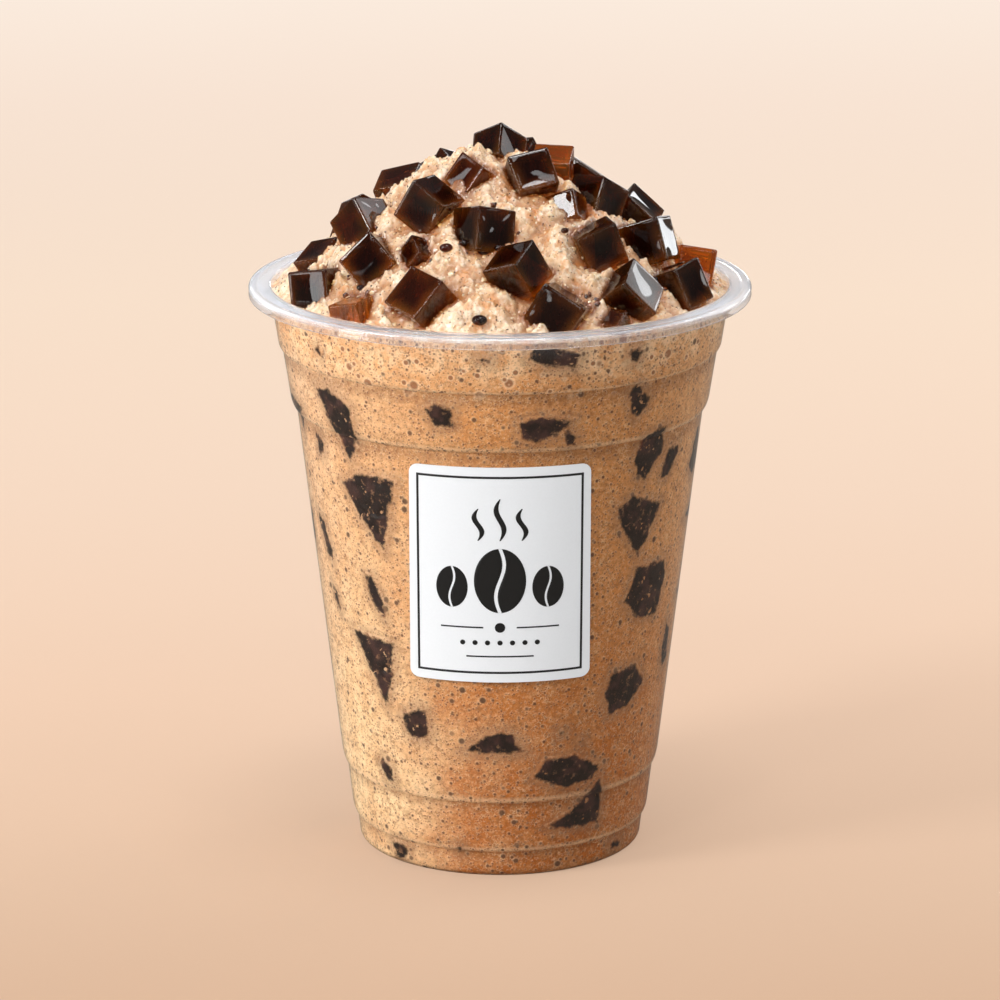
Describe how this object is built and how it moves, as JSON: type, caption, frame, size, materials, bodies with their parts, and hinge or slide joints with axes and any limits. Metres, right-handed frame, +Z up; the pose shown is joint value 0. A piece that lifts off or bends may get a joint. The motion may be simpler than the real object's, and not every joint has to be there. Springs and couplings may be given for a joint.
{
  "type": "coffee jelly frappe",
  "caption": "Clear stepped plastic cup with a rolled rim, filled with tan blended coffee heaped into a peak above the rim and studded with dark coffee jelly cubes, with a white front label.",
  "frame": {"origin": "middle of the foot, on the surface the cup stands on", "axes": "+Z up along the cup's axis, -Y towards the front with the label, +X to the right as seen from the front"},
  "size_m": [0.0982, 0.0982, 0.1446],
  "materials": {
    "cup": "clear, glossy",
    "frappe": "blended ice and coffee, wet and grainy",
    "jelly": "wet, glossy, dark and see-through at the edges",
    "label": "smooth coated paper"
  },
  "bodies": {
    "root": {"cup": "cup", "frappe": "frappe", "jelly_cube_01": "jelly", "jelly_cube_02": "jelly", "jelly_cube_03": "jelly", "jelly_cube_04": "jelly", "jelly_cube_05": "jelly", "jelly_cube_06": "jelly", "jelly_cube_07": "jelly", "jelly_cube_08": "jelly", "jelly_cube_09": "jelly", "jelly_cube_10": "jelly", "jelly_cube_11": "jelly", "jelly_cube_12": "jelly", "jelly_cube_13": "jelly", "jelly_cube_14": "jelly", "jelly_cube_15": "jelly", "jelly_cube_16": "jelly", "jelly_cube_17": "jelly", "jelly_cube_18": "jelly", "jelly_cube_19": "jelly", "jelly_cube_20": "jelly", "jelly_cube_21": "jelly", "jelly_cube_22": "jelly", "jelly_cube_23": "jelly", "jelly_cube_24": "jelly", "jelly_cube_25": "jelly", "jelly_cube_26": "jelly", "jelly_cube_27": "jelly", "jelly_cube_28": "jelly", "jelly_cube_29": "jelly", "jelly_cube_30": "jelly", "jelly_cube_31": "jelly", "jelly_cube_32": "jelly", "jelly_cube_33": "jelly", "jelly_cube_34": "jelly", "jelly_cube_35": "jelly", "jelly_cube_36": "jelly", "jelly_cube_37": "jelly", "jelly_cube_38": "jelly", "jelly_cube_39": "jelly", "label": "label"}
  },
  "joints": []
}
